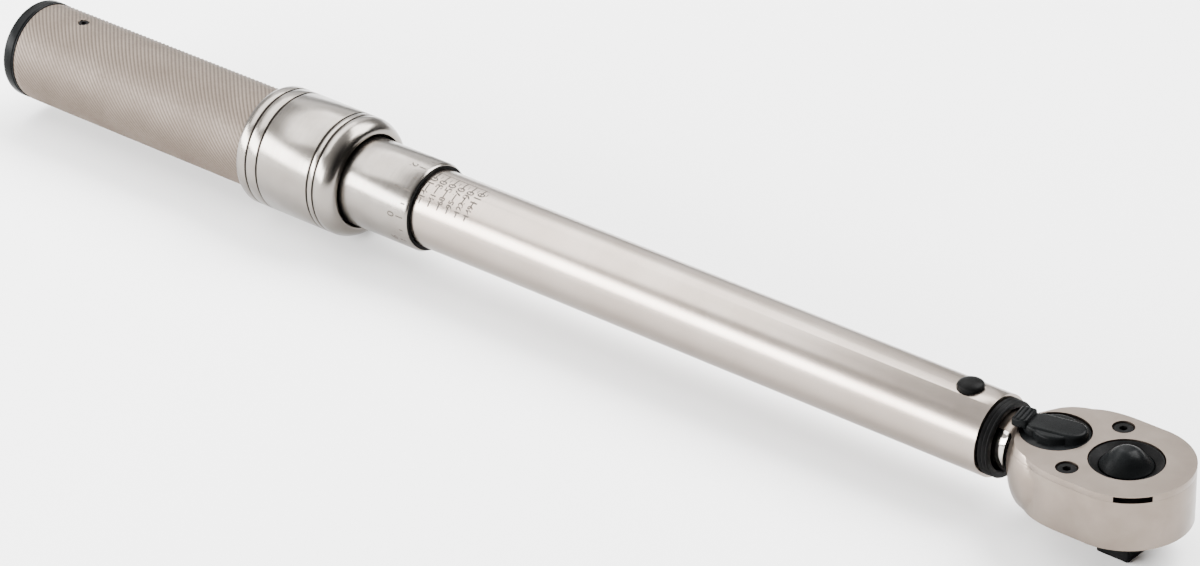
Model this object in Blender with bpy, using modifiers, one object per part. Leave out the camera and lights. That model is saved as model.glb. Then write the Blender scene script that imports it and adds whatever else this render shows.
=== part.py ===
"""Click-type torque wrench with a 3/8 inch square drive, built as separate moving parts.

Metres, +Z up. The origin is the centre of the square drive's end face, +Z runs up the
drive's axis through the head, and +X runs along the tube from the handle to the nose.
"""
import bmesh
import bpy
import math
from mathutils import Matrix, Vector

MM = 0.001
OBJECT_NAME = "torque_wrench"
CLEARANCE = 0.3 * MM
SNUG = 0.05 * MM

# Square drive: 3/8 inch across the flats
SQUARE_SIZE = 9.53 * MM
SQUARE_LENGTH = 10.6 * MM
BALL_RADIUS = 1.58 * MM
BALL_HEIGHT = 5.3 * MM

# Head
HEAD_THICKNESS = 15.4 * MM
HEAD_BOTTOM = SQUARE_LENGTH
HEAD_TOP = HEAD_BOTTOM + HEAD_THICKNESS
TUBE_Z = HEAD_BOTTOM + HEAD_THICKNESS / 2
NOSE_RADIUS = 17.2 * MM
PLATE_THICKNESS = 1.8 * MM
PLATE_BOTTOM = HEAD_TOP - PLATE_THICKNESS
HEAD_FLOOR = HEAD_BOTTOM + 2.6 * MM
# Half of the head's plan behind the nose, from the widest place back to the neck
BODY_SIDE = ((-5.5, 17.2), (-12.0, 17.0), (-17.6, 15.6), (-21.5, 13.7), (-24.8, 11.3),
             (-27.8, 9.1), (-30.5, 7.8), (-33.0, 7.1))
PLATE_SIDE = ((-5.5, 17.2), (-12.0, 17.0), (-17.6, 15.6), (-21.5, 13.7), (-24.8, 11.3),
              (-27.8, 8.6), (-31.0, 5.6), (-34.4, 2.3))
SCREW_X = -9.3 * MM
SCREW_Y = 12.0 * MM
SCREW_HEAD_RADIUS = 2.8 * MM

# Ratchet
TEETH = 36
GEAR_TIP = 12.4 * MM
GEAR_ROOT = 11.4 * MM
GEAR_BOTTOM = HEAD_FLOOR + CLEARANCE
GEAR_TOP = HEAD_BOTTOM + 11.4 * MM
POCKET_RADIUS = GEAR_TIP + 0.4 * MM
COLLAR_RADIUS = 7.6 * MM
DISH_RADIUS = 9.3 * MM
BUTTON_RADIUS = 6.8 * MM
BUTTON_EDGE = HEAD_TOP - 1.4 * MM
BUTTON_TOP = HEAD_TOP + 3.3 * MM
SPRING_FLOOR = HEAD_BOTTOM + 6.7 * MM
STEM_RADIUS = 1.9 * MM
PAWL_X = -16.0 * MM
PAWL_SWING = math.radians(4.5)
PAWL_REST = -PAWL_SWING
PAWL_BOTTOM = HEAD_FLOOR + 0.6 * MM
PAWL_TOP = HEAD_BOTTOM + 10.8 * MM

# Reversing lever
LEVER_X = -21.1 * MM
LEVER_RADIUS = 8.8 * MM
LEVER_FLANGE = 9.3 * MM
LEVER_REST = math.radians(12.0)
TAB_REAR = -11.4 * MM
TAB_FRONT = -6.8 * MM
TAB_HALF_WIDTH = 3.7 * MM
LEVER_FLOOR = HEAD_BOTTOM + 12.2 * MM

# Tube and pivot
TUBE_RADIUS = 11.0 * MM
TUBE_BORE = 9.4 * MM
TUBE_FRONT = -37.8 * MM
TUBE_REAR = -306.0 * MM
PIVOT_X = -47.0 * MM
PIVOT_RADIUS = 2.5 * MM
PIVOT_HEAD_RADIUS = 3.5 * MM
NECK_RADIUS = 7.65 * MM
TANG_HALF_WIDTH = 4.5 * MM
TANG_HALF_HEIGHT = 6.5 * MM
TANG_END = -99.3 * MM

# Trip mechanism
BLOCK_RADIUS = 2.5 * MM
BLOCK_FRONT_X = -98.8 * MM
BLOCK_REAR_X = -104.0 * MM
BLOCK_HALF_HEIGHT = 4.0 * MM
PLUNGER_RADIUS = 9.1 * MM
PLUNGER_FRONT = -103.5 * MM
PLUNGER_REAR = -122.0 * MM
MAIN_SPRING_FRONT = -122.9 * MM
MAIN_SPRING_REAR = -239.6 * MM
MAIN_SPRING_RADIUS = 7.0 * MM
MAIN_SPRING_WIRE = 1.75 * MM
SEAT_FRONT = -240.0 * MM
SEAT_REAR = -247.0 * MM

# Load screw and handle
THRUST_BALL_RADIUS = 3.0 * MM
THRUST_BALL_X = -249.0 * MM
LOAD_SCREW_RADIUS = 4.0 * MM
LOAD_SCREW_FRONT = -250.5 * MM
LOAD_SCREW_REAR = -370.0 * MM
NUT_FRONT = -290.0 * MM
NUT_REAR = -304.0 * MM
NUT_PIN_X = -297.0 * MM
THIMBLE_FRONT = -225.2 * MM
THIMBLE_REAR = -251.2 * MM
THIMBLE_RADIUS = 12.55 * MM
THIMBLE_BORE = TUBE_RADIUS + CLEARANCE
SPIGOT_END = -270.0 * MM
GRIP_RADIUS = 14.29 * MM
GRIP_REAR = -374.0 * MM
GRIP_SHOULDER = -285.0 * MM
GRIP_FRONT = THIMBLE_REAR - SNUG
GRIP_BORE = 12.0 * MM
MOUTH_BORE = 11.8 * MM
MOUTH_RADIUS = 12.35 * MM
MOUTH_REAR = -265.0 * MM
SLEEVE_RADIUS = 13.0 * MM
FLANGE_FRONT = -352.0 * MM
FLANGE_REAR = -364.0 * MM
SET_SCREW_X = -358.5 * MM
SET_SCREW_RADIUS = 1.5 * MM
CAP_REAR = -378.6 * MM
HEX_NUT_RADIUS = 7.5 * MM
LOCK_BALL_X = -276.0 * MM
LOCK_BALL_RADIUS = 1.0 * MM
LOCK_BALL_AXIS_RADIUS = 12.15 * MM

# Lock ring
RING_RADIUS = 17.0 * MM
RING_REAR = -284.3 * MM
RING_FRONT = -249.4 * MM
RING_BORE = 14.6 * MM
NOSE_BORE = 13.1 * MM
LIP_BORE = 12.6 * MM
LIP_REAR = -258.0 * MM
LIP_FRONT = -254.0 * MM
RING_GROOVES = (-255.3 * MM, -257.4 * MM, -276.2 * MM, -280.2 * MM)
SNAP_RADIUS = 12.95 * MM
SNAP_BORE = 12.1 * MM
SNAP_REAR = -253.7 * MM
SNAP_FRONT = -252.7 * MM

ROUND_STEPS = 32
SMALL_STEPS = 16

COLOURS = {
    "nickel": ((0.72, 0.70, 0.67), 1.0, 0.28),
    "satin": ((0.75, 0.74, 0.72), 1.0, 0.35),
    "knurl": ((0.55, 0.50, 0.45), 1.0, 0.5),
    "black_oxide": ((0.02, 0.02, 0.02), 0.8, 0.4),
    "steel": ((0.45, 0.45, 0.46), 1.0, 0.35),
    "rubber": ((0.015, 0.015, 0.015), 0.0, 0.7),
    "plastic": ((0.02, 0.02, 0.022), 0.0, 0.45),
    "brass": ((0.78, 0.58, 0.25), 1.0, 0.35),
}


# ---------------------------------------------------------------- scene helpers

def clear_scene():
    for item in list(bpy.data.objects):
        bpy.data.objects.remove(item, do_unlink=True)


def make_collection(name):
    collection = bpy.data.collections.new(name)
    bpy.context.scene.collection.children.link(collection)
    return collection


def paint(obj, look):
    colour, metallic, roughness = COLOURS[look]
    material = bpy.data.materials.new(obj.name + "_" + look)
    material.use_nodes = True
    shader = material.node_tree.nodes["Principled BSDF"]
    shader.inputs["Base Color"].default_value = (*colour, 1.0)
    shader.inputs["Metallic"].default_value = metallic
    shader.inputs["Roughness"].default_value = roughness
    obj.data.materials.append(material)


def finish(obj, look):
    """File an object as a part when it has a look, or as a cutter when it has none."""
    if look is None:
        CUTTERS.objects.link(obj)
        obj.hide_render = True
        obj.display_type = "WIRE"
    else:
        PARTS.objects.link(obj)
        paint(obj, look)
    return obj


def profile_object(name, points, edges):
    mesh = bpy.data.meshes.new(name)
    mesh.from_pydata(points, edges, [])
    mesh.update()
    return bpy.data.objects.new(name, mesh)


def boolean(target, tool, operation):
    modifier = target.modifiers.new(operation.lower() + "_" + tool.name, "BOOLEAN")
    modifier.operation = operation
    modifier.solver = "EXACT"
    modifier.object = tool
    return target


def cut(target, *tools):
    for tool in tools:
        boolean(target, tool, "DIFFERENCE")
    return target


def fuse(target, *tools):
    for tool in tools:
        boolean(target, tool, "UNION")
    return target


# ---------------------------------------------------------------- shape helpers

def lathe(name, profile, look, centre=(0.0, 0.0, 0.0), steps=ROUND_STEPS, along_x=False):
    """Turn a closed (radius, height) profile round the vertical axis, or round the tube's."""
    points = [(radius, 0.0, height) for radius, height in profile]
    count = len(points)
    open_profile = profile[0][0] == 0.0 and profile[-1][0] == 0.0
    edge_count = count - 1 if open_profile else count
    edges = [(i, (i + 1) % count) for i in range(edge_count)]
    obj = profile_object(name, points, edges)
    screw = obj.modifiers.new("turned", "SCREW")
    screw.axis = "Z"
    screw.steps = steps
    screw.render_steps = steps
    screw.use_merge_vertices = True
    screw.merge_threshold = 0.00001
    screw.use_smooth_shade = True
    obj.location = centre
    if along_x:
        obj.rotation_euler = (0.0, math.pi / 2, 0.0)
    return finish(obj, look)


def turned(name, profile, look, steps=ROUND_STEPS):
    """A part turned round the tube's axis, its profile given as (radius, x), front first."""
    return lathe(name, profile, look, centre=(0.0, 0.0, TUBE_Z), steps=steps, along_x=True)


def pin_z(name, radius, bottom, top, centre_xy, look, steps=SMALL_STEPS):
    profile = [(0.0, top), (radius, top), (radius, bottom), (0.0, bottom)]
    return lathe(name, profile, look, centre=(*centre_xy, 0.0), steps=steps)


def tube_profile(outer, inner, front, rear, chamfer=0.0):
    return [(inner, front), (outer - chamfer, front), (outer, front - chamfer),
            (outer, rear + chamfer), (outer - chamfer, rear), (inner, rear)]


def dome(radius, base, height, rings=5):
    """Profile points of a shallow dome from its top down to its rim."""
    points = []
    for i in range(rings + 1):
        angle = math.pi / 2 * i / rings
        points.append((radius * math.sin(angle), base + height * math.cos(angle)))
    points[0] = (0.0, base + height)
    return points


def inset_outline(outline, distance):
    count = len(outline)
    result = []
    for i in range(count):
        before = Vector(outline[i - 1])
        here = Vector(outline[i])
        after = Vector(outline[(i + 1) % count])
        first = (here - before).normalized()
        second = (after - here).normalized()
        inward = Vector((-first.y - second.y, first.x + second.x)).normalized()
        share = max(0.5, inward.dot(Vector((-first.y, first.x))))
        result.append(tuple(here + inward * (distance / share)))
    return result


def stack(name, outline, levels, look, centre=(0.0, 0.0, 0.0)):
    """A plan outline extruded up through (height, inset) levels, with a cap at each end."""
    shape = bmesh.new()
    height, inset = levels[0]
    ring = [shape.verts.new((x, y, height)) for x, y in inset_outline(outline, inset)]
    bottom = shape.faces.new(ring)
    bottom.normal_flip()
    for height, inset in levels[1:]:
        rise = inset_outline(outline, inset)
        edges = [shape.edges.get((ring[i - 1], ring[i])) for i in range(len(ring))]
        risen = bmesh.ops.extrude_edge_only(shape, edges=edges)["geom"]
        above = {}
        for vert in risen:
            if isinstance(vert, bmesh.types.BMVert):
                above[tuple(vert.co)] = vert
        ring = [above[tuple(vert.co)] for vert in ring]
        for vert, (x, y) in zip(ring, rise):
            vert.co = (x, y, height)
    shape.faces.new(ring)
    bmesh.ops.recalc_face_normals(shape, faces=shape.faces)
    return finish(from_bmesh(name, shape, centre), look)


def from_bmesh(name, shape, centre):
    mesh = bpy.data.meshes.new(name)
    shape.to_mesh(mesh)
    shape.free()
    obj = bpy.data.objects.new(name, mesh)
    obj.location = centre
    return obj


def block(name, low, high, look):
    middle = (Vector(low) + Vector(high)) / 2
    size = Vector(high) - Vector(low)
    shape = bmesh.new()
    bmesh.ops.create_cube(shape, size=1.0, matrix=Matrix.Diagonal((*size, 1.0)))
    return finish(from_bmesh(name, shape, middle), look)


def ball(name, radius, centre, look, segments=16):
    shape = bmesh.new()
    bmesh.ops.create_uvsphere(shape, u_segments=segments, v_segments=segments // 2,
                              radius=radius)
    obj = from_bmesh(name, shape, centre)
    obj.data.shade_smooth()
    return finish(obj, look)


def coil(name, radius, wire, start, end, turns, look, along_x=False, centre=None,
         steps_per_turn=12):
    """A compression spring from start to end along the vertical or the tube's axis."""
    steps = int(turns * steps_per_turn)
    curve = bpy.data.curves.new(name, "CURVE")
    curve.dimensions = "3D"
    curve.bevel_depth = wire
    curve.bevel_resolution = 2
    curve.use_fill_caps = True
    line = curve.splines.new("POLY")
    line.points.add(steps)
    for i in range(steps + 1):
        angle = 2 * math.pi * turns * i / steps
        along = start + (end - start) * i / steps
        point = (radius * math.cos(angle), radius * math.sin(angle), along)
        if along_x:
            point = (along, radius * math.cos(angle), radius * math.sin(angle))
        line.points[i].co = (*point, 1.0)
    obj = bpy.data.objects.new(name, curve)
    obj.location = centre or (0.0, 0.0, TUBE_Z)
    return finish(obj, look)


def turn_about(outline, pivot_x, angle):
    result = []
    for x, y in outline:
        dx = x - pivot_x
        result.append((pivot_x + dx * math.cos(angle) - y * math.sin(angle),
                       dx * math.sin(angle) + y * math.cos(angle)))
    return result


# ---------------------------------------------------------------- outlines

def head_outline(side):
    """The head's plan: a round nose and a mirrored side, anticlockwise from the nose."""
    half = []
    nose_steps = 12
    for i in range(nose_steps):
        angle = math.radians(95.0) * i / nose_steps
        half.append((NOSE_RADIUS * math.cos(angle), NOSE_RADIUS * math.sin(angle)))
    half += [(x * MM, y * MM) for x, y in side]
    mirrored = [(x, -y) for x, y in reversed(half[1:])]
    return half + mirrored


def gear_outline(growth=0.0):
    """Pointed ratchet teeth round the gear, each one symmetrical so it drives both ways."""
    pitch = 2 * math.pi / TEETH
    tip = GEAR_TIP + growth
    root = GEAR_ROOT + growth
    widen = growth / GEAR_TIP
    corners = ((root, -0.40 * pitch - widen), (tip, -0.12 * pitch - widen),
               (tip, 0.12 * pitch + widen), (root, 0.40 * pitch + widen))
    points = []
    for tooth in range(TEETH):
        for radius, offset in corners:
            angle = pitch * tooth + offset
            points.append((radius * math.cos(angle), radius * math.sin(angle)))
    return points


def pawl_outline():
    """The rocking pawl midway between its two driving positions."""
    wing = []
    for degrees in (13.0, 18.0, 23.0, 28.0, 33.0):
        angle = math.pi - math.radians(degrees)
        wing.append((11.0 * MM * math.cos(angle), 11.0 * MM * math.sin(angle)))
    half = [(-13.4 * MM, 0.0), (-13.4 * MM, 2.6 * MM)] + wing
    half += [(-11.9 * MM, 7.2 * MM), (-14.6 * MM, 7.0 * MM), (-17.9 * MM, 3.2 * MM)]
    mirrored = [(x, -y) for x, y in reversed(half[1:])]
    return list(reversed(half + mirrored))


def capsule_outline(front, rear, radius, steps=8):
    points = []
    for i in range(steps + 1):
        angle = -math.pi / 2 + math.pi * i / steps
        points.append((front + radius * math.cos(angle), radius * math.sin(angle)))
    for i in range(steps + 1):
        angle = math.pi / 2 + math.pi * i / steps
        points.append((rear + radius * math.cos(angle), radius * math.sin(angle)))
    return points


def hexagon(radius):
    return [(radius * math.cos(math.pi / 3 * i), radius * math.sin(math.pi / 3 * i))
            for i in range(6)]


# ---------------------------------------------------------------- tube and pivot

def build_tube():
    tube = turned("tube", tube_profile(TUBE_RADIUS, TUBE_BORE, TUBE_FRONT, TUBE_REAR,
                                       0.3 * MM), "nickel")
    spot_height = TUBE_Z + TUBE_RADIUS - 0.7 * MM
    pivot = (PIVOT_X, 0.0)
    hole = pin_z("cut_tube_pivot", PIVOT_RADIUS + SNUG, -5.0 * MM, 40.0 * MM, pivot, None)
    spot = pin_z("cut_tube_spot", PIVOT_HEAD_RADIUS + CLEARANCE, spot_height, 40.0 * MM,
                 pivot, None)
    nut_hole = pin_z("cut_tube_nut_pins", 1.5 * MM + SNUG, -5.0 * MM, 40.0 * MM,
                     (NUT_PIN_X, 0.0), None)
    cut(tube, hole, spot, nut_hole)

    head = dome(PIVOT_HEAD_RADIUS, spot_height + 1.0 * MM, 1.4 * MM, rings=4)
    foot = TUBE_Z - TUBE_RADIUS + 0.3 * MM
    profile = head + [(PIVOT_HEAD_RADIUS, spot_height + SNUG),
                      (PIVOT_RADIUS, spot_height + SNUG), (PIVOT_RADIUS, foot), (0.0, foot)]
    lathe("pivot_pin", profile, "black_oxide", centre=(PIVOT_X, 0.0, 0.0), steps=SMALL_STEPS)


def build_end_seal():
    lip = TUBE_FRONT + SNUG
    profile = [(8.3 * MM, -34.2 * MM), (9.6 * MM, -34.2 * MM), (10.3 * MM, -35.0 * MM),
               (9.7 * MM, -35.6 * MM), (10.3 * MM, -36.2 * MM), (10.3 * MM, lip),
               (TUBE_BORE - SNUG, lip), (TUBE_BORE - SNUG, -42.5 * MM), (8.4 * MM, -42.5 * MM)]
    turned("end_seal", profile, "rubber")


def build_load_nut():
    nut = turned("load_nut", tube_profile(TUBE_BORE - SNUG, LOAD_SCREW_RADIUS + CLEARANCE,
                                          NUT_FRONT, NUT_REAR, 0.4 * MM), "brass")
    hole = pin_z("cut_nut_pins", 1.5 * MM + SNUG, -5.0 * MM, 40.0 * MM, (NUT_PIN_X, 0.0), None)
    cut(nut, hole)
    inner = LOAD_SCREW_RADIUS + 1.5 * MM
    outer = TUBE_RADIUS - 0.2 * MM
    centre = (NUT_PIN_X, 0.0)
    pin_z("nut_pin_top", 1.5 * MM, TUBE_Z + inner, TUBE_Z + outer, centre, "steel")
    pin_z("nut_pin_bottom", 1.5 * MM, TUBE_Z - outer, TUBE_Z - inner, centre, "steel")


# ---------------------------------------------------------------- head

def build_head():
    levels = [(HEAD_BOTTOM, 2.0 * MM), (HEAD_BOTTOM + 0.6 * MM, 0.9 * MM),
              (HEAD_BOTTOM + 2.2 * MM, 0.2 * MM), (HEAD_BOTTOM + 4.5 * MM, 0.0),
              (PLATE_BOTTOM - SNUG, 0.0)]
    head = stack("ratchet_head", head_outline(BODY_SIDE), levels, "nickel")
    neck = turned("add_neck", [(0.0, -24.0 * MM), (NECK_RADIUS, -24.0 * MM),
                               (NECK_RADIUS, -53.0 * MM), (0.0, -53.0 * MM)], None)
    tang = block("add_tang", (TANG_END, -TANG_HALF_WIDTH, TUBE_Z - TANG_HALF_HEIGHT),
                 (-50.0 * MM, TANG_HALF_WIDTH, TUBE_Z + TANG_HALF_HEIGHT), None)
    above = block("cut_above_body", (-36.0 * MM, -20.0 * MM, PLATE_BOTTOM - SNUG),
                  (-20.0 * MM, 20.0 * MM, 40.0 * MM), None)
    fuse(head, neck, tang)
    gear_pocket = pin_z("cut_gear_pocket", POCKET_RADIUS, HEAD_FLOOR, 40.0 * MM, (0.0, 0.0),
                        None, steps=ROUND_STEPS)
    drive_hole = pin_z("cut_drive_hole", COLLAR_RADIUS + CLEARANCE, 0.0, 20.0 * MM,
                       (0.0, 0.0), None, steps=ROUND_STEPS)
    pawl_pocket = pin_z("cut_pawl_pocket", 9.9 * MM, HEAD_FLOOR, 40.0 * MM,
                        (-16.5 * MM, 0.0), None, steps=ROUND_STEPS)
    lever_pocket = pin_z("cut_lever_pocket", LEVER_FLANGE + CLEARANCE, LEVER_FLOOR,
                         40.0 * MM, (LEVER_X, 0.0), None, steps=ROUND_STEPS)
    pivot = pin_z("cut_head_pivot", PIVOT_RADIUS + 0.1 * MM, -5.0 * MM, 40.0 * MM,
                  (PIVOT_X, 0.0), None)
    toggle = stack("cut_tang_groove", capsule_outline(BLOCK_FRONT_X, -110.0 * MM, 2.9 * MM),
                   [(0.0, 0.0), (40.0 * MM, 0.0)], None)
    screws = [pin_z("cut_head_screw_" + str(i + 1), 1.3 * MM + SNUG, HEAD_FLOOR + 2.0 * MM,
                    40.0 * MM, (SCREW_X, side * SCREW_Y), None)
              for i, side in enumerate((-1, 1))]
    slot = pry_slot()
    cut(head, above, gear_pocket, drive_hole, pawl_pocket, lever_pocket, pivot, toggle,
        slot, *screws)
    pin_z("pawl_pin", 1.3 * MM, HEAD_FLOOR + SNUG, LEVER_FLOOR, (PAWL_X, 0.0), "steel")


def pry_slot():
    """A short slot under the cover plate's front edge, where a blade lifts the plate."""
    outline = [(-5.0 * MM, -0.9 * MM), (5.0 * MM, -0.9 * MM), (5.0 * MM, 3.0 * MM),
               (-5.0 * MM, 3.0 * MM)]
    slot = stack("cut_pry_slot", outline, [(PLATE_BOTTOM - 0.8 * MM, 0.0),
                                           (PLATE_BOTTOM + 1.0 * MM, 0.0)], None)
    angle = math.radians(-50.0)
    reach = NOSE_RADIUS
    slot.location = (reach * math.cos(angle), reach * math.sin(angle), 0.0)
    slot.rotation_euler = (0.0, 0.0, angle + math.pi / 2 + math.pi)
    return slot


def build_cover_plate():
    levels = [(PLATE_BOTTOM, 0.0), (HEAD_TOP - 0.8 * MM, 0.0), (HEAD_TOP - 0.25 * MM, 0.25 * MM),
              (HEAD_TOP, 0.8 * MM)]
    plate = stack("cover_plate", head_outline(PLATE_SIDE), levels, "nickel")
    button_hole = pin_z("cut_plate_button", DISH_RADIUS + CLEARANCE, 0.0, 40.0 * MM,
                        (0.0, 0.0), None, steps=ROUND_STEPS)
    lever_hole = pin_z("cut_plate_lever", LEVER_RADIUS + CLEARANCE, 0.0, 40.0 * MM,
                       (LEVER_X, 0.0), None, steps=ROUND_STEPS)
    cut(plate, button_hole, lever_hole)
    for i, side in enumerate((-1, 1)):
        centre = (SCREW_X, side * SCREW_Y, 0.0)
        sink = HEAD_TOP - 0.9 * MM
        profile = [(0.0, 40.0 * MM), (SCREW_HEAD_RADIUS + 0.1 * MM, 40.0 * MM),
                   (SCREW_HEAD_RADIUS + 0.1 * MM, sink), (1.5 * MM, sink), (1.5 * MM, 0.0),
                   (0.0, 0.0)]
        cut(plate, lathe("cut_plate_screw_" + str(i + 1), profile, None, centre=centre,
                         steps=SMALL_STEPS))
        head_low = sink + SNUG
        screw_profile = [(0.0, HEAD_TOP - 0.3 * MM), (SCREW_HEAD_RADIUS - 0.2 * MM,
                                                      HEAD_TOP - 0.3 * MM),
                         (SCREW_HEAD_RADIUS, HEAD_TOP - 0.45 * MM),
                         (SCREW_HEAD_RADIUS, head_low), (1.3 * MM, head_low),
                         (1.3 * MM, HEAD_FLOOR + 2.5 * MM), (0.0, HEAD_FLOOR + 2.5 * MM)]
        lathe("cover_screw_" + str(i + 1), screw_profile, "black_oxide", centre=centre,
              steps=SMALL_STEPS)


# ---------------------------------------------------------------- ratchet

def build_drive():
    levels = [(GEAR_BOTTOM, 0.0), (GEAR_TOP, 0.0)]
    gear = stack("drive_gear", gear_outline(), levels, "black_oxide")
    body = lathe("add_gear_body", [
        (0.0, HEAD_TOP - 0.4 * MM), (DISH_RADIUS - 0.4 * MM, HEAD_TOP - 0.4 * MM),
        (DISH_RADIUS, HEAD_TOP - 0.8 * MM), (DISH_RADIUS, GEAR_BOTTOM + 2.0 * MM),
        (COLLAR_RADIUS, GEAR_BOTTOM + 1.0 * MM), (COLLAR_RADIUS, HEAD_BOTTOM - 0.4 * MM),
        (COLLAR_RADIUS - 0.4 * MM, HEAD_BOTTOM - 0.8 * MM),
        (0.0, HEAD_BOTTOM - 0.8 * MM)], None)
    half = SQUARE_SIZE / 2
    outline = [(-half, -half), (half, -half), (half, half), (-half, half)]
    square = stack("add_square", outline, [(0.0, 0.6 * MM), (0.6 * MM, 0.0),
                                           (GEAR_BOTTOM + 3.0 * MM, 0.0)], None)
    fuse(gear, body, square)
    dish = lathe("cut_dish", [
        (0.0, 40.0 * MM), (DISH_RADIUS - 0.7 * MM, 40.0 * MM),
        (DISH_RADIUS - 0.7 * MM, HEAD_TOP - 0.4 * MM),
        (BUTTON_RADIUS + CLEARANCE, HEAD_TOP - 1.8 * MM),
        (BUTTON_RADIUS + CLEARANCE, SPRING_FLOOR), (STEM_RADIUS + CLEARANCE, SPRING_FLOOR),
        (STEM_RADIUS + CLEARANCE, 1.6 * MM), (0.0, 1.6 * MM)], None)
    bore = lathe("cut_ball_bore", [(0.0, 0.0), (BALL_RADIUS + 0.1 * MM, 0.0),
                                   (BALL_RADIUS + 0.1 * MM, -8.0 * MM), (0.0, -8.0 * MM)],
                 None, centre=(0.0, 0.0, BALL_HEIGHT), steps=SMALL_STEPS, along_x=True)
    cut(gear, dish, bore)
    out = SQUARE_SIZE / 2 + 0.7 * MM - BALL_RADIUS
    ball("retaining_ball", BALL_RADIUS, (-out, 0.0, BALL_HEIGHT), "steel")


def build_button():
    skirt = SPRING_FLOOR + 4.7 * MM
    groove_low = BALL_HEIGHT + 0.7 * MM
    groove_high = BALL_HEIGHT + 3.5 * MM
    profile = [(0.0, BUTTON_TOP), (1.8 * MM, BUTTON_TOP - 0.2 * MM),
               (3.2 * MM, BUTTON_TOP - 0.9 * MM), (4.6 * MM, BUTTON_TOP - 2.3 * MM),
               (5.8 * MM, BUTTON_TOP - 3.8 * MM), (BUTTON_RADIUS, BUTTON_EDGE),
               (BUTTON_RADIUS, skirt), (STEM_RADIUS, skirt), (STEM_RADIUS, groove_high),
               (0.9 * MM, groove_high - 1.0 * MM), (0.9 * MM, groove_low + 0.4 * MM),
               (STEM_RADIUS, groove_low - 0.2 * MM), (STEM_RADIUS, 4.0 * MM), (0.0, 4.0 * MM)]
    lathe("release_button", profile, "black_oxide")
    coil("button_spring", 4.4 * MM, 0.3 * MM, SPRING_FLOOR + 0.4 * MM, skirt - 0.4 * MM, 3.0,
         "steel", centre=(0.0, 0.0, 0.0))


def build_pawl():
    rest = turn_about(pawl_outline(), PAWL_X, PAWL_REST)
    pawl = stack("pawl", rest, [(PAWL_BOTTOM, 0.0), (PAWL_TOP, 0.0)], "steel")
    grown = gear_outline(0.15 * MM)
    levels = [(0.0, 0.0), (40.0 * MM, 0.0)]
    here = stack("cut_pawl_teeth_rest", grown, levels, None)
    there = stack("cut_pawl_teeth_reversed", turn_about(grown, PAWL_X, 2 * PAWL_REST),
                  levels, None)
    hole = pin_z("cut_pawl_pin", 1.3 * MM + 0.1 * MM, 0.0, 40.0 * MM, (PAWL_X, 0.0), None)
    cut(pawl, here, there, hole)


def build_lever():
    disc_top = HEAD_TOP - 0.5 * MM
    flange_top = PLATE_BOTTOM - CLEARANCE
    disc = lathe("reverse_lever", [
        (0.0, disc_top), (LEVER_RADIUS - 0.5 * MM, disc_top),
        (LEVER_RADIUS, disc_top - 0.5 * MM), (LEVER_RADIUS, flange_top),
        (LEVER_FLANGE, flange_top), (LEVER_FLANGE, LEVER_FLOOR + 0.2 * MM),
        (2.4 * MM, LEVER_FLOOR + 0.2 * MM), (2.4 * MM, HEAD_FLOOR + 0.2 * MM),
        (0.0, HEAD_FLOOR + 0.2 * MM)], "plastic", centre=(LEVER_X, 0.0, 0.0))
    bar = stack("add_lever_bar", capsule_outline(4.3 * MM, -4.3 * MM, 4.2 * MM),
                [(disc_top - 1.0 * MM, 0.0), (HEAD_TOP + 1.2 * MM, 0.2 * MM),
                 (HEAD_TOP + 2.0 * MM, 1.0 * MM)], None)
    tab_outline = [(TAB_REAR, -TAB_HALF_WIDTH), (TAB_FRONT, -TAB_HALF_WIDTH),
                   (TAB_FRONT, TAB_HALF_WIDTH), (TAB_REAR, TAB_HALF_WIDTH)]
    tab = stack("add_lever_tab", tab_outline,
                [(HEAD_TOP + 0.5 * MM, 0.0), (HEAD_TOP + 3.0 * MM, 0.2 * MM),
                 (HEAD_TOP + 3.6 * MM, 0.9 * MM)], None)
    bore = lathe("cut_plunger_bore", [
        (0.0, 8.0 * MM), (1.05 * MM, 8.0 * MM), (1.05 * MM, -1.5 * MM), (0.0, -1.5 * MM)],
        None, steps=SMALL_STEPS)
    for piece in (bar, tab):
        piece.location = (LEVER_X, 0.0, 0.0)
        piece.rotation_euler = (0.0, 0.0, LEVER_REST)
    height = (PAWL_BOTTOM + PAWL_TOP) / 2
    aim_across_shaft(bore, height)
    fuse(disc, bar, tab)
    cut(disc, bore)
    plunger = lathe("pawl_plunger", [(0.0, 3.1 * MM), (0.5 * MM, 3.0 * MM),
                                     (0.9 * MM, 2.5 * MM), (0.9 * MM, 0.5 * MM),
                                     (0.0, 0.5 * MM)], "steel", steps=12)
    spring = coil("pawl_spring", 0.6 * MM, 0.13 * MM, -1.3 * MM, 0.3 * MM, 3.0, "steel",
                  centre=(0.0, 0.0, 0.0))
    aim_across_shaft(plunger, height)
    aim_across_shaft(spring, height)


def aim_across_shaft(obj, height):
    """Lay an upright piece across the lever's shaft, pointing at the pawl."""
    obj.location = (LEVER_X, 0.0, height)
    obj.rotation_euler = (0.0, math.pi / 2, LEVER_REST)


# ---------------------------------------------------------------- trip mechanism

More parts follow.
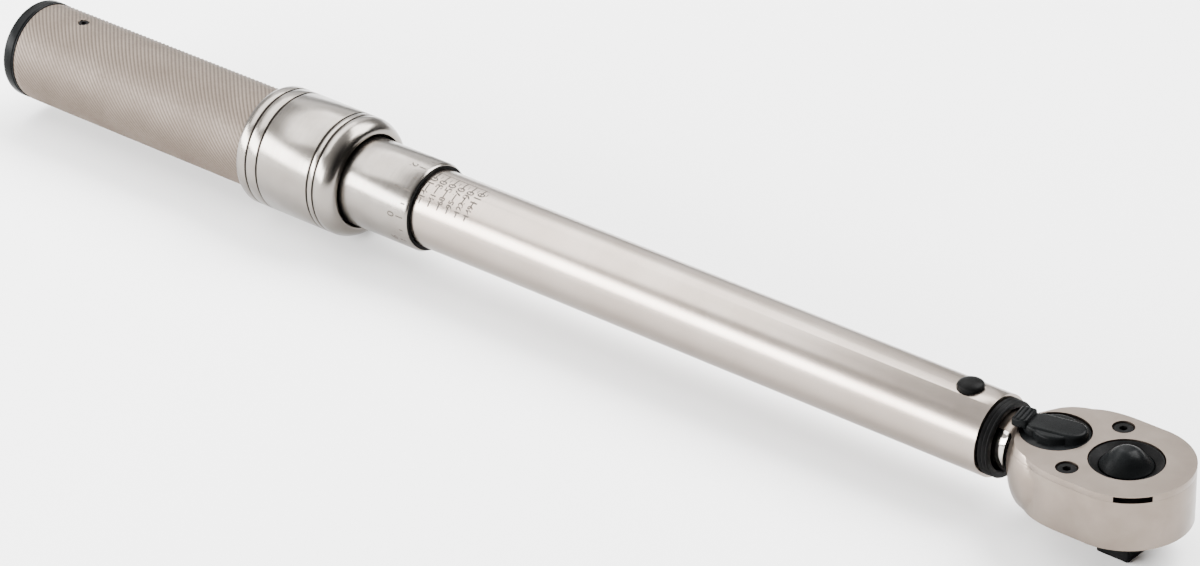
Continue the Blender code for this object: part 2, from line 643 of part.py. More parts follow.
def build_trip():
    outline = capsule_outline(BLOCK_FRONT_X, BLOCK_REAR_X, BLOCK_RADIUS)
    stack("tilt_block", outline, [(TUBE_Z - BLOCK_HALF_HEIGHT, 0.0),
                                  (TUBE_Z + BLOCK_HALF_HEIGHT, 0.0)], "steel")
    plunger = turned("plunger", [
        (0.0, PLUNGER_FRONT), (PLUNGER_RADIUS - 0.5 * MM, PLUNGER_FRONT),
        (PLUNGER_RADIUS, PLUNGER_FRONT - 0.5 * MM), (PLUNGER_RADIUS, PLUNGER_REAR),
        (4.6 * MM, PLUNGER_REAR), (4.6 * MM, PLUNGER_REAR - 7.0 * MM),
        (0.0, PLUNGER_REAR - 7.0 * MM)], "steel")
    groove = stack("cut_plunger_groove", capsule_outline(-90.0 * MM, BLOCK_REAR_X, 2.8 * MM),
                   [(0.0, 0.0), (40.0 * MM, 0.0)], None)
    cut(plunger, groove)
    coil("main_spring", MAIN_SPRING_RADIUS, MAIN_SPRING_WIRE,
         MAIN_SPRING_FRONT - MAIN_SPRING_WIRE, MAIN_SPRING_REAR + MAIN_SPRING_WIRE, 15.0,
         "black_oxide", along_x=True)


def build_load_carriage():
    turned("spring_seat", [
        (0.0, SEAT_FRONT + 6.0 * MM), (4.6 * MM, SEAT_FRONT + 6.0 * MM),
        (4.6 * MM, SEAT_FRONT), (PLUNGER_RADIUS, SEAT_FRONT), (PLUNGER_RADIUS, SEAT_REAR),
        (3.2 * MM, SEAT_REAR), (1.6 * MM, THRUST_BALL_X + THRUST_BALL_RADIUS + 0.2 * MM),
        (0.0, THRUST_BALL_X + THRUST_BALL_RADIUS + 0.2 * MM)], "steel")
    ball("thrust_ball", THRUST_BALL_RADIUS, (THRUST_BALL_X, 0.0, TUBE_Z), "steel")


# ---------------------------------------------------------------- handle

def build_load_screw():
    front = LOAD_SCREW_FRONT
    turned("load_screw", [
        (0.0, THRUST_BALL_X - THRUST_BALL_RADIUS - 0.1 * MM),
        (2.0 * MM, THRUST_BALL_X - THRUST_BALL_RADIUS - 0.1 * MM), (3.2 * MM, front),
        (LOAD_SCREW_RADIUS, front), (LOAD_SCREW_RADIUS, LOAD_SCREW_REAR + 0.6 * MM),
        (LOAD_SCREW_RADIUS - 0.6 * MM, LOAD_SCREW_REAR), (0.0, LOAD_SCREW_REAR)], "steel",
        steps=24)


def build_drive_flange():
    flange = turned("drive_flange", tube_profile(GRIP_BORE - SNUG, LOAD_SCREW_RADIUS + SNUG,
                                                 FLANGE_FRONT, FLANGE_REAR, 0.4 * MM), "brass")
    hole = pin_z("cut_flange_set_screw", SET_SCREW_RADIUS + SNUG, TUBE_Z + 8.0 * MM,
                 40.0 * MM, (SET_SCREW_X, 0.0), None)
    cut(flange, hole)
    low = TUBE_Z + 8.0 * MM + SNUG
    high = TUBE_Z + GRIP_RADIUS - 0.35 * MM
    screw = pin_z("grip_set_screw", SET_SCREW_RADIUS, low, high, (SET_SCREW_X, 0.0),
                  "black_oxide")
    socket = stack("cut_set_screw_socket", hexagon(0.85 * MM),
                   [(high - 1.6 * MM, 0.0), (high + 1.0 * MM, 0.0)], None,
                   centre=(SET_SCREW_X, 0.0, 0.0))
    cut(screw, socket)
    front = FLANGE_REAR - SNUG
    nut = stack("lock_nut", hexagon(HEX_NUT_RADIUS), [(front - 4.0 * MM, 0.8 * MM),
                                                      (front - 3.6 * MM, 0.0), (front, 0.0)],
                "steel", centre=(0.0, 0.0, TUBE_Z))
    nut.rotation_euler = (0.0, math.pi / 2, 0.0)
    nut_bore = turned("cut_lock_nut_bore", [
        (0.0, front + 5.0 * MM), (LOAD_SCREW_RADIUS + SNUG, front + 5.0 * MM),
        (LOAD_SCREW_RADIUS + SNUG, front - 9.0 * MM), (0.0, front - 9.0 * MM)], None)
    cut(nut, nut_bore)


def build_grip():
    grip = turned("grip", [
        (MOUTH_BORE, GRIP_FRONT), (MOUTH_RADIUS, GRIP_FRONT),
        (MOUTH_RADIUS, SNAP_FRONT + SNUG), (SNAP_BORE - SNUG, SNAP_FRONT + SNUG),
        (SNAP_BORE - SNUG, SNAP_REAR - SNUG), (MOUTH_RADIUS, SNAP_REAR - SNUG),
        (MOUTH_RADIUS, MOUTH_REAR), (SLEEVE_RADIUS, MOUTH_REAR), (SLEEVE_RADIUS, GRIP_SHOULDER),
        (GRIP_RADIUS - 0.4 * MM, GRIP_SHOULDER), (GRIP_RADIUS, GRIP_SHOULDER - 0.4 * MM),
        (GRIP_RADIUS, GRIP_REAR + 0.3 * MM), (GRIP_RADIUS - 0.3 * MM, GRIP_REAR),
        (GRIP_BORE, GRIP_REAR), (GRIP_BORE, SPIGOT_END - CLEARANCE),
        (MOUTH_BORE, SPIGOT_END - CLEARANCE)], "knurl")
    hole = pin_z("cut_grip_set_screw", SET_SCREW_RADIUS + SNUG, TUBE_Z + 8.0 * MM, 40.0 * MM,
                 (SET_SCREW_X, 0.0), None)
    cut(grip, hole)
    for i in range(3):
        angle = math.radians(90.0 + 120.0 * i)
        bore = lathe("cut_lock_ball_" + str(i + 1), [
            (0.0, 20.0 * MM), (LOCK_BALL_RADIUS + 0.1 * MM, 20.0 * MM),
            (LOCK_BALL_RADIUS + 0.1 * MM, 6.0 * MM), (0.0, 6.0 * MM)], None,
            centre=(LOCK_BALL_X, 0.0, TUBE_Z), steps=12)
        bore.rotation_euler = (angle - math.pi / 2, 0.0, 0.0)
        cut(grip, bore)
        centre = (LOCK_BALL_X, LOCK_BALL_AXIS_RADIUS * math.cos(angle),
                  TUBE_Z + LOCK_BALL_AXIS_RADIUS * math.sin(angle))
        ball("lock_ball_" + str(i + 1), LOCK_BALL_RADIUS, centre, "steel", segments=12)


def build_thimble():
    turned("thimble", [
        (THIMBLE_BORE, THIMBLE_FRONT), (THIMBLE_RADIUS - 0.5 * MM, THIMBLE_FRONT),
        (THIMBLE_RADIUS, THIMBLE_FRONT - 0.5 * MM), (THIMBLE_RADIUS, THIMBLE_REAR),
        (MOUTH_BORE - SNUG, THIMBLE_REAR), (MOUTH_BORE - SNUG, SPIGOT_END),
        (THIMBLE_BORE, SPIGOT_END)], "satin")


def build_end_cap():
    turned("end_cap", [
        (0.0, GRIP_REAR + 3.0 * MM), (GRIP_BORE - SNUG, GRIP_REAR + 3.0 * MM),
        (GRIP_BORE - SNUG, GRIP_REAR - SNUG), (GRIP_RADIUS, GRIP_REAR - SNUG),
        (GRIP_RADIUS, CAP_REAR + 1.2 * MM), (GRIP_RADIUS - 0.35 * MM, CAP_REAR + 0.35 * MM),
        (GRIP_RADIUS - 1.2 * MM, CAP_REAR), (0.0, CAP_REAR)], "plastic")


# ---------------------------------------------------------------- lock ring

def groove(x, depth=0.35 * MM, width=0.7 * MM):
    return [(RING_RADIUS, x + width / 2), (RING_RADIUS - depth, x),
            (RING_RADIUS, x - width / 2)]


def build_lock_ring():
    profile = [(NOSE_BORE, RING_FRONT - 0.5 * MM), (13.5 * MM, RING_FRONT),
               (14.7 * MM, RING_FRONT - 0.4 * MM), (15.9 * MM, RING_FRONT - 1.5 * MM),
               (16.7 * MM, RING_FRONT - 3.0 * MM), (RING_RADIUS, RING_FRONT - 4.4 * MM)]
    for x in RING_GROOVES:
        profile += groove(x)
    profile += [(RING_RADIUS, RING_REAR + 1.0 * MM), (RING_RADIUS - 1.0 * MM, RING_REAR),
                (RING_BORE, RING_REAR), (RING_BORE, LIP_REAR), (LIP_BORE, LIP_REAR),
                (LIP_BORE, LIP_FRONT), (NOSE_BORE, LIP_FRONT)]
    turned("lock_ring", profile, "satin")
    turned("retaining_ring", tube_profile(SNAP_RADIUS, SNAP_BORE, SNAP_FRONT, SNAP_REAR),
           "black_oxide")
    coil("lock_ring_spring", 13.85 * MM, 0.45 * MM, LIP_REAR - 0.7 * MM,
         GRIP_SHOULDER + 0.7 * MM, 3.5, "steel", along_x=True, steps_per_turn=20)


# ---------------------------------------------------------------- joints

JOINT_EMPTIES = (
    ("joint_head_pivot", (PIVOT_X, 0.0, TUBE_Z), None,
     ("ratchet_head", "cover_plate", "cover_screw_1", "cover_screw_2", "pawl_pin")),
    ("joint_drive_spin", (0.0, 0.0, TUBE_Z), "joint_head_pivot", ("drive_gear",)),
    ("joint_button_press", (0.0, 0.0, HEAD_TOP), "joint_drive_spin",
     ("release_button", "button_spring")),
    ("joint_ball_slide", (0.0, 0.0, BALL_HEIGHT), "joint_drive_spin", ("retaining_ball",)),
    ("joint_lever_swing", (LEVER_X, 0.0, HEAD_TOP), "joint_head_pivot",
     ("reverse_lever", "pawl_plunger", "pawl_spring")),
    ("joint_pawl_swing", (PAWL_X, 0.0, TUBE_Z), "joint_head_pivot", ("pawl",)),
    ("joint_plunger_slide", (PLUNGER_FRONT, 0.0, TUBE_Z), None, ("plunger",)),
    ("joint_block_tilt", (BLOCK_REAR_X, 0.0, TUBE_Z), "joint_plunger_slide", ("tilt_block",)),
    ("joint_handle_travel", (SEAT_FRONT, 0.0, TUBE_Z), None, ("spring_seat", "thrust_ball")),
    ("joint_handle_turn", (THIMBLE_FRONT, 0.0, TUBE_Z), "joint_handle_travel",
     ("load_screw", "drive_flange", "lock_nut", "grip", "thimble", "end_cap",
      "grip_set_screw", "lock_ball_1", "lock_ball_2", "lock_ball_3", "retaining_ring")),
    ("joint_lock_ring", (RING_REAR, 0.0, TUBE_Z), "joint_handle_turn",
     ("lock_ring", "lock_ring_spring")),
)


def adopt(child, parent, parent_place):
    child.parent = parent
    child.location = Vector(child.location) - Vector(parent_place)


def add_joints():
    places = {}
    for name, place, parent_name, members in JOINT_EMPTIES:
        empty = bpy.data.objects.new(name, None)
        empty.empty_display_size = 0.01
        empty.location = place
        PARTS.objects.link(empty)
        places[name] = place
        if parent_name:
            adopt(empty, bpy.data.objects[parent_name], places[parent_name])
        for member in members:
            adopt(bpy.data.objects[member], empty, place)


def build_all():
    build_tube()
    build_end_seal()
    build_load_nut()
    build_head()
    build_cover_plate()
    build_drive()
    build_button()
    build_pawl()
    build_lever()
    build_trip()
    build_load_carriage()
    build_load_screw()
    build_drive_flange()
    build_grip()
    build_thimble()
    build_end_cap()
    build_lock_ring()
    add_joints()


clear_scene()
PARTS = make_collection(OBJECT_NAME)
CUTTERS = make_collection(OBJECT_NAME + "_cutters")
build_all()
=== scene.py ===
"""Looks of the click-type torque wrench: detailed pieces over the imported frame.

Metres, +Z up. The tube's axis runs along X, the drive's axis is the Z axis.
"""
import math

import bmesh
import bpy
from mathutils import Matrix, Vector


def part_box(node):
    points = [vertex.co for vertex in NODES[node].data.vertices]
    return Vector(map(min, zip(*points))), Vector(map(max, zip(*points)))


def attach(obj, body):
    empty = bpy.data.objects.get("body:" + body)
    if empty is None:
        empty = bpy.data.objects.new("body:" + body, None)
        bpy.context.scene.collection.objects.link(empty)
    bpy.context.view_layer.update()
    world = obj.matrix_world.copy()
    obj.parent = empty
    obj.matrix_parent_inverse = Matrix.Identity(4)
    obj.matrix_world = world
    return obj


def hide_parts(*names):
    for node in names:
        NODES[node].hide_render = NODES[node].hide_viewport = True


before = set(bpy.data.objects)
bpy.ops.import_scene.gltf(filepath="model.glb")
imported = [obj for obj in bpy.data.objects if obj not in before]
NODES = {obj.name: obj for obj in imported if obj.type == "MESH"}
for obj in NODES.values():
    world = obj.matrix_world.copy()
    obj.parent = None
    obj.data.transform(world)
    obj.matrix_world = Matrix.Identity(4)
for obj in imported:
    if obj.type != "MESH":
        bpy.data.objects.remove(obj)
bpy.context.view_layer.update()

MM = 0.001
X_AXIS = Vector((1.0, 0.0, 0.0))
Z_AXIS = Vector((0.0, 0.0, 1.0))


# ---------------------------------------------------------------- sizes from the frame

def low(node):
    return Vector(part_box(node)[0])


def high(node):
    return Vector(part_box(node)[1])


def centre(node):
    return (low(node) + high(node)) / 2


def radius_y(node):
    return (high(node).y - low(node).y) / 2


TUBE_Z = centre("tube").z
TUBE_RADIUS = radius_y("tube")
TUBE_AXIS = Vector((0.0, 0.0, TUBE_Z))
HEAD_TOP = high("cover_plate").z
HEAD_BOTTOM = low("ratchet_head").z
PLATE_BOTTOM = low("cover_plate").z
NOSE_RADIUS = high("ratchet_head").x
NECK_RADIUS = 7.65 * MM
DISH_RADIUS = 9.3 * MM
BUTTON_RADIUS = radius_y("release_button")
LEVER_X = -21.1 * MM
LEVER_RADIUS = 8.8 * MM
LEVER_REST = math.radians(12.0)
SQUARE_HALF = 9.53 * MM / 2
TEETH = 36
GEAR_TIP = 12.4
GEAR_ROOT = 11.4
SLOT_DEGREES = -50.0
SLOT_HALF_WIDTH = 4.8 * MM
GRIP_SHOULDER = -285.0 * MM
KNURL_DEPTH = 0.32 * MM
SHARP_EDGE = math.radians(38.0)
RING_GROOVES = (-255.3 * MM, -257.4 * MM, -276.2 * MM, -280.2 * MM)


# ---------------------------------------------------------------- materials

def node(tree, kind, **values):
    made = tree.nodes.new(kind)
    for key, value in values.items():
        setattr(made, key, value)
    return made


def noise(tree, coordinates, stretch, scale, detail=3.0):
    """A noise texture in metres: scale is its cells per metre, stretch squeezes each axis."""
    mapping = node(tree, "ShaderNodeMapping")
    mapping.inputs["Scale"].default_value = stretch
    texture = node(tree, "ShaderNodeTexNoise")
    texture.inputs["Scale"].default_value = scale
    texture.inputs["Detail"].default_value = detail
    tree.links.new(coordinates, mapping.inputs["Vector"])
    tree.links.new(mapping.outputs["Vector"], texture.inputs["Vector"])
    return texture.outputs["Fac"]


def ramp(tree, value, stops):
    made = node(tree, "ShaderNodeValToRGB")
    elements = made.color_ramp.elements
    while len(elements) < len(stops):
        elements.new(0.5)
    for element, (position, colour) in zip(elements, stops):
        element.position = position
        element.color = (*colour, 1.0)
    tree.links.new(value, made.inputs["Fac"])
    return made.outputs["Color"]


def remap(tree, value, lowest, highest):
    made = node(tree, "ShaderNodeMapRange")
    made.inputs["From Min"].default_value = 0.3
    made.inputs["From Max"].default_value = 0.7
    made.inputs["To Min"].default_value = lowest
    made.inputs["To Max"].default_value = highest
    tree.links.new(value, made.inputs["Value"])
    return made.outputs["Result"]


def blend_colours(tree, factor, first, second):
    made = node(tree, "ShaderNodeMix", data_type="RGBA")
    tree.links.new(factor, made.inputs["Factor"])
    tree.links.new(first, made.inputs["A"])
    made.inputs["B"].default_value = (*second, 1.0)
    return made.outputs["Result"]


def edge_wear(tree, fine):
    """How rubbed a place is: the sharpness of its edge, broken up by the fine grain."""
    sharpness = node(tree, "ShaderNodeNewGeometry").outputs["Pointiness"]
    worn = node(tree, "ShaderNodeMapRange")
    worn.inputs["From Min"].default_value = 0.52
    worn.inputs["From Max"].default_value = 0.62
    tree.links.new(sharpness, worn.inputs["Value"])
    broken = node(tree, "ShaderNodeMath", operation="MULTIPLY")
    tree.links.new(worn.outputs["Result"], broken.inputs[0])
    tree.links.new(remap(tree, fine, 0.3, 1.0), broken.inputs[1])
    return broken.outputs["Value"]


def finish_material(name, tones, metallic, rough, grain, stretch=(1.0, 1.0, 1.0), bump=0.02,
                    stain=120.0, edge=None, painted_hollow_shade=None, specular=0.5):
    """A worn surface: two tones in soft patches, fine grain in roughness and relief,
    paler rubbed edges where edge is given, and painted shade where a shade colour is given: it darkens
    the hollows marked by a vertex layer named like that argument."""
    material = bpy.data.materials.new(name)
    material.use_nodes = True
    tree = material.node_tree
    shader = tree.nodes["Principled BSDF"]
    shader.inputs["Metallic"].default_value = metallic
    shader.inputs["Specular IOR Level"].default_value = specular
    places = node(tree, "ShaderNodeTexCoord").outputs["Object"]
    patches = noise(tree, places, (1.0, 1.0, 1.0), stain, 4.0)
    colour = ramp(tree, patches, [(0.32, tones[0]), (0.68, tones[1])])
    fine = noise(tree, places, stretch, grain, 5.0)
    if edge:
        colour = blend_colours(tree, edge_wear(tree, fine), colour, edge)
    # Painted shade: the hollows marked in the vertex layer (groove floors, knurl valleys) take the
    # darker colour.
    if painted_hollow_shade:
        layer = node(tree, "ShaderNodeAttribute", attribute_name="painted_hollow_shade")
        colour = blend_colours(tree, layer.outputs["Fac"], colour, painted_hollow_shade)
    tree.links.new(colour, shader.inputs["Base Color"])
    tree.links.new(remap(tree, fine, *rough), shader.inputs["Roughness"])
    relief = node(tree, "ShaderNodeBump")
    relief.inputs["Strength"].default_value = 0.6
    relief.inputs["Distance"].default_value = bump * MM
    tree.links.new(fine, relief.inputs["Height"])
    tree.links.new(relief.outputs["Normal"], shader.inputs["Normal"])
    return material


def make_materials():
    """Every finish on the wrench. Turned metal has its grain squeezed into fine rings."""
    rings = (1.0, 0.02, 0.02)
    return {
        "nickel": finish_material("satin_nickel", ((0.152, 0.124, 0.102), (0.184, 0.152, 0.127)),
                                  1.0, (0.28, 0.34), 900.0, (0.5, 0.5, 0.5), 0.004),
        "polished": finish_material("polished_nickel", ((0.36, 0.33, 0.295), (0.44, 0.405, 0.37)),
                                    1.0, (0.06, 0.12), 1500.0, rings, 0.004),
        "tube": finish_material("tube_nickel", ((0.25, 0.212, 0.182), (0.28, 0.242, 0.212)),
                                1.0, (0.24, 0.27), 1500.0, rings, 0.0006, stain=60.0),
        # The satin and knurl finishes carry a painted shade colour for their marked hollows.
        "satin": finish_material("turned_satin", ((0.165, 0.149, 0.132), (0.203, 0.186, 0.169)), 1.0,
                                 (0.19, 0.27), 3200.0, rings, 0.008, painted_hollow_shade=(0.02, 0.018, 0.016)),
        "knurl": finish_material("knurled_steel", ((0.11, 0.084, 0.064), (0.143, 0.113, 0.089)), 0.5,
                                 (0.55, 0.70), 1400.0, bump=0.01, painted_hollow_shade=(0.045, 0.032, 0.023)),
        "black_oxide": finish_material("black_oxide", ((0.002, 0.002, 0.002), (0.005, 0.005, 0.005)),
                                       0.0, (0.34, 0.48), 1800.0, bump=0.008, specular=0.025),
        "steel": finish_material("ground_steel", ((0.42, 0.42, 0.43), (0.54, 0.54, 0.55)), 1.0,
                                 (0.22, 0.36), 2400.0, rings, 0.01, edge=(0.8, 0.8, 0.8)),
        "rubber": finish_material("seal_rubber", ((0.002, 0.002, 0.002), (0.005, 0.005, 0.005)),
                                  0.0, (0.40, 0.55), 1600.0, bump=0.02, specular=0.035),
        "plastic": finish_material("black_plastic", ((0.002, 0.0022, 0.0022), (0.005, 0.0055, 0.0058)),
                                   0.0, (0.24, 0.36), 2200.0, bump=0.006, specular=0.03),
        "brass": finish_material("turned_brass", ((0.70, 0.50, 0.20), (0.82, 0.62, 0.30)), 1.0,
                                 (0.22, 0.36), 2600.0, rings, 0.01, edge=(0.95, 0.8, 0.5)),
        "ink": finish_material("etched_ink", ((0.03, 0.024, 0.019), (0.06, 0.05, 0.04)), 0.1,
                               (0.5, 0.65), 3000.0, bump=0.006, specular=0.2),
    }


LOOKS = make_materials()


# ---------------------------------------------------------------- mesh helpers

def from_bmesh(name, shape):
    bmesh.ops.recalc_face_normals(shape, faces=shape.faces)
    mesh = bpy.data.meshes.new(name)
    shape.to_mesh(mesh)
    shape.free()
    obj = bpy.data.objects.new(name, mesh)
    bpy.context.scene.collection.objects.link(obj)
    return obj


def spin(name, profile, origin=TUBE_AXIS, axis=X_AXIS, steps=144):
    """Turn a profile of (radius, distance along the axis) points round an axis."""
    side = Z_AXIS if abs(axis.z) < 0.5 else X_AXIS
    shape = bmesh.new()
    verts = [shape.verts.new(origin + axis * along + side * radius)
             for radius, along in profile]
    closed = not (profile[0][0] == 0.0 and profile[-1][0] == 0.0)
    count = len(verts)
    edges = [shape.edges.new((verts[i], verts[(i + 1) % count]))
             for i in range(count if closed else count - 1)]
    bmesh.ops.spin(shape, geom=verts + edges, cent=origin, axis=axis, dvec=(0, 0, 0),
                   angle=2 * math.pi, steps=steps, use_merge=True)
    bmesh.ops.remove_doubles(shape, verts=shape.verts, dist=0.001 * MM)
    return from_bmesh(name, shape)


def prism(name, outline, bottom, top, chamfer=0.0):
    """A plan outline extruded from bottom to top, drawn in by chamfer at its top."""
    shape = bmesh.new()
    floor = shape.faces.new([shape.verts.new((x, y, bottom)) for x, y in outline])
    risen = bmesh.ops.extrude_face_region(shape, geom=[floor])["geom"]
    cap = [item for item in risen if isinstance(item, bmesh.types.BMVert)]
    for vert in cap:
        vert.co.z = top
    if chamfer:
        middle = sum((vert.co for vert in cap), Vector()) / len(cap)
        for vert in cap:
            inward = (middle - vert.co).normalized()
            vert.co += inward * chamfer
    return from_bmesh(name, shape)


def bake(obj):
    """Apply the object's modifiers to its mesh."""
    graph = bpy.context.evaluated_depsgraph_get()
    mesh = bpy.data.meshes.new_from_object(obj.evaluated_get(graph))
    obj.modifiers.clear()
    obj.data = mesh


def boolean(target, tool, operation):
    modifier = target.modifiers.new(operation.lower(), "BOOLEAN")
    modifier.operation = operation
    modifier.solver = "EXACT"
    modifier.object = tool
    bake(target)
    bpy.data.objects.remove(tool, do_unlink=True)


def soften(obj, width, segments=2, angle=30.0):
    """Round the sharp edges by a width, then shade smooth up to them."""
    if width:
        bevel = obj.modifiers.new("softened", "BEVEL")
        bevel.width = width
        bevel.segments = segments
        bevel.limit_method = "ANGLE"
        bevel.angle_limit = math.radians(angle)
        bake(obj)
    obj.data.shade_smooth()
    obj.data.set_sharp_from_angle(angle=SHARP_EDGE)
    return obj


def place(obj, look, body, slot, *replaced):
    """Give a piece its finish, the body it rides on and the CAD nodes it stands for."""
    obj.data.materials.clear()
    obj.data.materials.append(LOOKS[look])
    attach(obj, body)
    if replaced:
        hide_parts(*replaced)


def capsule(front, rear, radius, steps=14):
    """Outline of a bar with round ends, whose end centres are at front and rear."""
    points = []
    for end, start in ((front, -90.0), (rear, 90.0)):
        for i in range(steps + 1):
            angle = math.radians(start + 180.0 * i / steps)
            points.append((end + radius * math.cos(angle), radius * math.sin(angle)))
    return points


def arc_profile(radius, top, height, rim, rings=12):
    """Profile of a shallow dome, from its crown down to its rim."""
    points = [(0.0, top)]
    for i in range(1, rings + 1):
        angle = math.pi / 2 * i / rings
        points.append((radius * math.sin(angle), top - height * (1 - math.cos(angle))))
    points[-1] = (radius, rim)
    return points


# ---------------------------------------------------------------- tube

def build_tube():
    front = high("tube").x
    rear = low("tube").x
    bore = 9.4 * MM
    tube = spin("tube_body", [(bore, front), (TUBE_RADIUS, front), (TUBE_RADIUS, rear),
                              (bore, rear)], steps=192)
    pivot = centre("pivot_pin")
    top = TUBE_Z + TUBE_RADIUS
    spot = spin("tube_spot_face", [(0.0, top - 0.7 * MM), (3.75 * MM, top - 0.7 * MM),
                                   (3.75 * MM, top + 5 * MM), (0.0, top + 5 * MM)],
                Vector((pivot.x, 0.0, 0.0)), Z_AXIS, 48)
    boolean(tube, spot, "DIFFERENCE")
    hole = spin("tube_pin_hole", [(0.0, -1 * MM), (2.56 * MM, -1 * MM), (2.56 * MM, 40 * MM),
                                  (0.0, 40 * MM)], Vector((pivot.x, 0.0, 0.0)), Z_AXIS, 48)
    boolean(tube, hole, "DIFFERENCE")
    soften(tube, 0.35 * MM, 3)
    place(tube, "tube", "tube_body", "nickel", "tube")


def build_pivot_pin():
    place_low = low("pivot_pin")
    place_high = high("pivot_pin")
    head = radius_y("pivot_pin")
    shoulder = TUBE_Z + TUBE_RADIUS - 0.65 * MM
    profile = arc_profile(head, place_high.z, 1.3 * MM, shoulder + 1.0 * MM)
    profile += [(head, shoulder), (2.5 * MM, shoulder), (2.5 * MM, place_low.z + 0.4 * MM),
                (2.1 * MM, place_low.z), (0.0, place_low.z)]
    origin = Vector((centre("pivot_pin").x, 0.0, 0.0))
    pin = soften(spin("pivot_pin_domed", profile, origin, Z_AXIS, 64), 0.12 * MM)
    place(pin, "black_oxide", "tube_body", "black_oxide", "pivot_pin")


def build_seal():
    """The ribbed rubber ring between the tube's mouth and the neck."""
    front = high("end_seal").x
    mouth = high("tube").x + 0.04 * MM
    rear = low("end_seal").x
    outer = radius_y("end_seal")
    profile = [(8.1 * MM, front - 0.8 * MM), (8.6 * MM, front - 0.3 * MM), (9.4 * MM, front - 0.3 * MM)]
    rib = (mouth - front) / 3
    for i in range(3):
        x = front + rib * i
        profile += [(outer - 0.35 * MM + 0.1 * MM * i, x + rib * 0.25),
                    (outer - 0.1 * MM + 0.05 * MM * i, x + rib * 0.55),
                    (outer - 0.55 * MM, x + rib * 0.95)]
    profile += [(outer - 0.5 * MM, mouth), (9.3 * MM, mouth), (9.3 * MM, rear),
                (8.4 * MM, rear)]
    seal = soften(spin("seal_ribbed", profile), 0.12 * MM, 3)
    place(seal, "rubber", "tube_body", "rubber", "end_seal")


# ---------------------------------------------------------------- head

def head_half_outline():
    """Half of the pear-shaped plan, from the nose back to where the neck begins."""
    half = []
    for i in range(40):
        angle = math.radians(96.0) * i / 40
        half.append((NOSE_RADIUS * math.cos(angle), NOSE_RADIUS * math.sin(angle)))
    return half + smooth_line([(-4.0, 17.15), (-9.0, 17.15), (-13.5, 16.75), (-17.6, 15.6),
                               (-21.0, 13.6), (-24.0, 11.0), (-27.0, 7.6), (-30.0, 3.0)], 5)


def spline_point(four, t):
    """A Catmull-Rom point between the middle two of four knots given in millimetres."""
    a, b, c, d = [Vector(knot) for knot in four]
    point = 0.5 * (2 * b + (c - a) * t + (2 * a - 5 * b + 4 * c - d) * t * t
                   + (3 * b - a - 3 * c + d) * t ** 3)
    return (point.x * MM, point.y * MM)


def smooth_line(knots, steps):
    """Points in metres along a smooth line from the second knot up to the last but one."""
    points = []
    for i in range(1, len(knots) - 2):
        for j in range(steps):
            points.append(spline_point(knots[i - 1:i + 3], j / steps))
    return points


def head_solid(name):
    """Pear-shaped block flaring into a round neck, between two flat faces."""
    half = head_half_outline()
    outline = half + [(x, -y) for x, y in reversed(half[1:])]
    pear = prism(name, outline, HEAD_BOTTOM, HEAD_TOP)
    flare = [(0.0, -12.0 * MM)]
    flare += smooth_line([(15.2, -8.0), (15.6, -12.0), (16.4, -18.0), (15.9, -21.0),
                          (14.6, -24.0), (12.9, -26.2), (11.1, -27.7), (9.3, -29.1),
                          (8.05, -30.7), (7.7, -32.8), (7.66, -35.5), (7.65, -38.0)], 4)
    flare += [(NECK_RADIUS, -37.0 * MM), (NECK_RADIUS, -53.0 * MM), (0.0, -53.0 * MM)]
    turned = spin("flare", flare, steps=160)
    boolean(pear, turned, "UNION")
    boolean(pear, half_space("slab", HEAD_BOTTOM, HEAD_TOP), "INTERSECT")
    return pear


def half_space(name, bottom, top):
    wide = 70 * MM
    return prism(name, [(-wide, -wide), (wide, -wide), (wide, wide), (-wide, wide)],
                 bottom, top)


def pin_cutter(x, y, radius, bottom, top, steps=96):
    return spin("cutter", [(0.0, bottom), (radius, bottom), (radius, top), (0.0, top)],
                Vector((x, y, 0.0)), Z_AXIS, steps)


def head_tang(pivot_x):
    """The flat bar that runs back from the neck into the tube, with its two cross holes."""
    tang = prism("tang", [(-99.3 * MM, -4.5 * MM), (-48 * MM, -4.5 * MM),
                          (-48 * MM, 4.5 * MM), (-99.3 * MM, 4.5 * MM)],
                 TUBE_Z - 6.5 * MM, TUBE_Z + 6.5 * MM)
    boolean(tang, pin_cutter(-98.8 * MM, 0.0, 2.9 * MM, -5 * MM, 40 * MM, 48), "DIFFERENCE")
    boolean(tang, pin_cutter(pivot_x, 0.0, 2.6 * MM, -5 * MM, 40 * MM, 48), "DIFFERENCE")
    return tang


def build_head_body():
    """The head below its cover plate: pockets for the gear, pawl and lever, neck and tang."""
    pivot_x = centre("pivot_pin").x
    screw = centre("cover_screw_1")
    body = head_solid("head_body")
    boolean(body, half_space("above", PLATE_BOTTOM - 0.03 * MM, 60 * MM), "DIFFERENCE")
    soften(body, 0.9 * MM, 5, 60.0)
    floor = HEAD_BOTTOM + 2.6 * MM
    boolean(body, pin_cutter(0.0, 0.0, 12.85 * MM, floor, 40 * MM), "DIFFERENCE")
    boolean(body, pin_cutter(0.0, 0.0, 7.85 * MM, 0.0, 40 * MM), "DIFFERENCE")
    boolean(body, pin_cutter(-16.5 * MM, 0.0, 9.9 * MM, floor, 40 * MM), "DIFFERENCE")
    boolean(body, pin_cutter(LEVER_X, 0.0, 9.6 * MM, HEAD_BOTTOM + 12.2 * MM, 40 * MM),
            "DIFFERENCE")
    for side in (-1, 1):
        boolean(body, pin_cutter(screw.x, side * abs(screw.y), 1.35 * MM, floor + 2 * MM,
                                 40 * MM, 32), "DIFFERENCE")
    boolean(body, pin_cutter(pivot_x, 0.0, 2.6 * MM, -5 * MM, 40 * MM, 48), "DIFFERENCE")
    boolean(body, head_tang(pivot_x), "UNION")
    soften(body, 0.0)
    place(body, "nickel", "head", "nickel", "ratchet_head")
    body.data.materials.append(LOOKS["polished"])
    for face in body.data.polygons:
        if face.center.x < -29.4 * MM:
            face.material_index = 1


